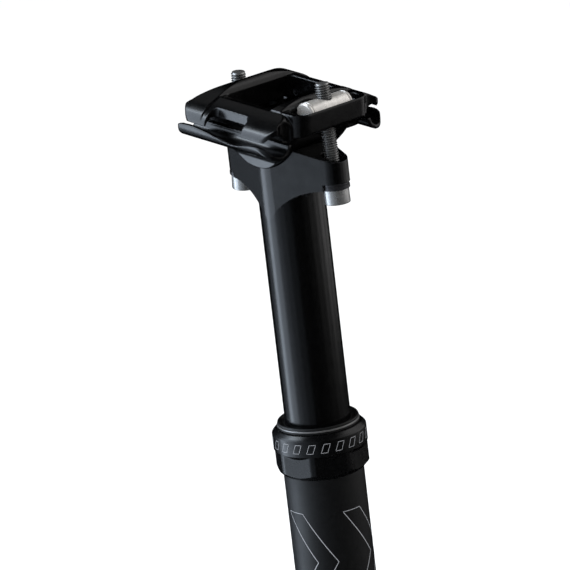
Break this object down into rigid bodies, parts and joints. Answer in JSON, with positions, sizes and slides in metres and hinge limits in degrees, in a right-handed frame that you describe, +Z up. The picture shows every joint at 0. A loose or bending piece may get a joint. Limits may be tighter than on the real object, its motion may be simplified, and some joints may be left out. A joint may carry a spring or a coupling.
{
  "type": "suspension seatpost",
  "caption": "Telescoping bicycle seatpost with an internal coil spring, screwed collar with wiper seal, forged head and a tilting two-bolt clamp for saddle rails.",
  "frame": {"origin": "centre of the outer tube's bottom end, on the post's axis", "axes": "+Z up the post towards the saddle, +X to the front of the bicycle, +Y to its left side"},
  "size_m": [0.0542, 0.0538, 0.3636],
  "materials": {
    "matte_black_alloy": "matte black anodised tube",
    "gloss_black_alloy": "gloss black anodised forging",
    "black_collar_alloy": "satin black anodised ring",
    "seal_rubber": "wiper rubber",
    "polished_steel": "polished steel",
    "zinc_steel": "bright zinc plated steel",
    "black_steel": "black oxide steel",
    "spring_steel": "oiled spring steel",
    "bushing_polymer": "bearing polymer",
    "rod_plastic": "natural acetal",
    "bumper_elastomer": "polyurethane",
    "brass": "turned brass",
    "dark_alloy": "dark anodised alloy"
  },
  "bodies": {
    "outer": {"outer_tube": "matte_black_alloy", "lock_collar": "black_collar_alloy", "wiper_seal": "seal_rubber", "seal_ring": "polished_steel", "upper_bushing": "bushing_polymer", "main_spring": "spring_steel"},
    "spring_carrier": {"spring_seat": "rod_plastic", "bottom_out_bumper": "bumper_elastomer"},
    "preload_screw": {"preload_plug": "dark_alloy", "plug_o_ring": "seal_rubber"},
    "upper_post": {"stanchion": "gloss_black_alloy", "key_pins": "brass", "lower_bushing": "bushing_polymer", "top_out_ring": "seal_rubber", "end_plug": "dark_alloy", "guide_rod": "rod_plastic", "front_seat_washer": "black_steel", "rear_seat_washer": "black_steel"},
    "cradle": {"lower_cradle": "gloss_black_alloy"},
    "clamp": {"upper_clamp": "gloss_black_alloy"},
    "front_nut": {"front_barrel_nut": "polished_steel"},
    "rear_nut": {"rear_barrel_nut": "polished_steel"},
    "front_swivel": {"front_cup_washer": "black_steel"},
    "rear_swivel": {"rear_cup_washer": "black_steel"},
    "front_screw": {"front_bolt": "zinc_steel"},
    "rear_screw": {"rear_bolt": "zinc_steel"}
  },
  "joints": [
    {"name": "post_travel", "type": "slide", "parent": "outer", "child": "upper_post", "axis": [0, 0, -1], "range_m": [0, 0.05], "stiffness_N_per_m": 15000, "springref_m": -0.01, "deforming": ["main_spring"]},
    {"name": "preload_travel", "type": "slide", "parent": "outer", "child": "spring_carrier", "axis": [0, 0, 1], "range_m": [0, 0.005], "deforming": ["main_spring"]},
    {"name": "preload_turn", "type": "hinge", "parent": "spring_carrier", "child": "preload_screw", "pos_m": [0, 0, 0.01], "axis": [0, 0, 1], "range_deg": [0, 1200]},
    {"name": "clamp_tilt", "type": "hinge", "parent": "upper_post", "child": "cradle", "pos_m": [0, 0, 0.35], "axis": [0, 1, 0], "range_deg": [-8, 5]},
    {"name": "clamp_open", "type": "slide", "parent": "cradle", "child": "clamp", "axis": [0.0294, 0, 0.9996], "range_m": [0, 0.002]},
    {"name": "front_nut_turn", "type": "hinge", "parent": "clamp", "child": "front_nut", "pos_m": [0.02124, 0, 0.35498], "axis": [0, 1, 0], "range_deg": [-4, 7]},
    {"name": "rear_nut_turn", "type": "hinge", "parent": "clamp", "child": "rear_nut", "pos_m": [-0.02018, 0, 0.35504], "axis": [0, 1, 0], "range_deg": [-4.5, 7.5]},
    {"name": "front_bolt_swing", "type": "hinge", "parent": "upper_post", "child": "front_swivel", "pos_m": [0.0218, 0, 0.33724], "axis": [0, 1, 0], "range_deg": [-2.5, 1.5]},
    {"name": "rear_bolt_swing", "type": "hinge", "parent": "upper_post", "child": "rear_swivel", "pos_m": [-0.0218, 0, 0.33724], "axis": [0, 1, 0], "range_deg": [-1.5, 1]},
    {"name": "front_bolt_turn", "type": "hinge", "parent": "front_swivel", "child": "front_screw", "pos_m": [0.0218, 0, 0.33724], "axis": [0.0317, 0, -0.9995], "range_deg": [0, 900]},
    {"name": "rear_bolt_turn", "type": "hinge", "parent": "rear_swivel", "child": "rear_screw", "pos_m": [-0.0218, 0, 0.33724], "axis": [-0.0904, 0, -0.9959], "range_deg": [0, 900]}
  ],
  "couplings": [
    {"joint": "preload_travel", "follows": "preload_turn", "m_per_rad": 0.00023873},
    {"joint": "front_nut_turn", "follows": "clamp_tilt", "ratio": -0.742},
    {"joint": "rear_nut_turn", "follows": "clamp_tilt", "ratio": -0.842},
    {"joint": "front_bolt_swing", "follows": "clamp_tilt", "ratio": 0.258},
    {"joint": "rear_bolt_swing", "follows": "clamp_tilt", "ratio": 0.158},
    {"joint": "front_bolt_turn", "follows": "clamp_open", "rad_per_m": 7854},
    {"joint": "rear_bolt_turn", "follows": "clamp_open", "rad_per_m": 7854}
  ]
}
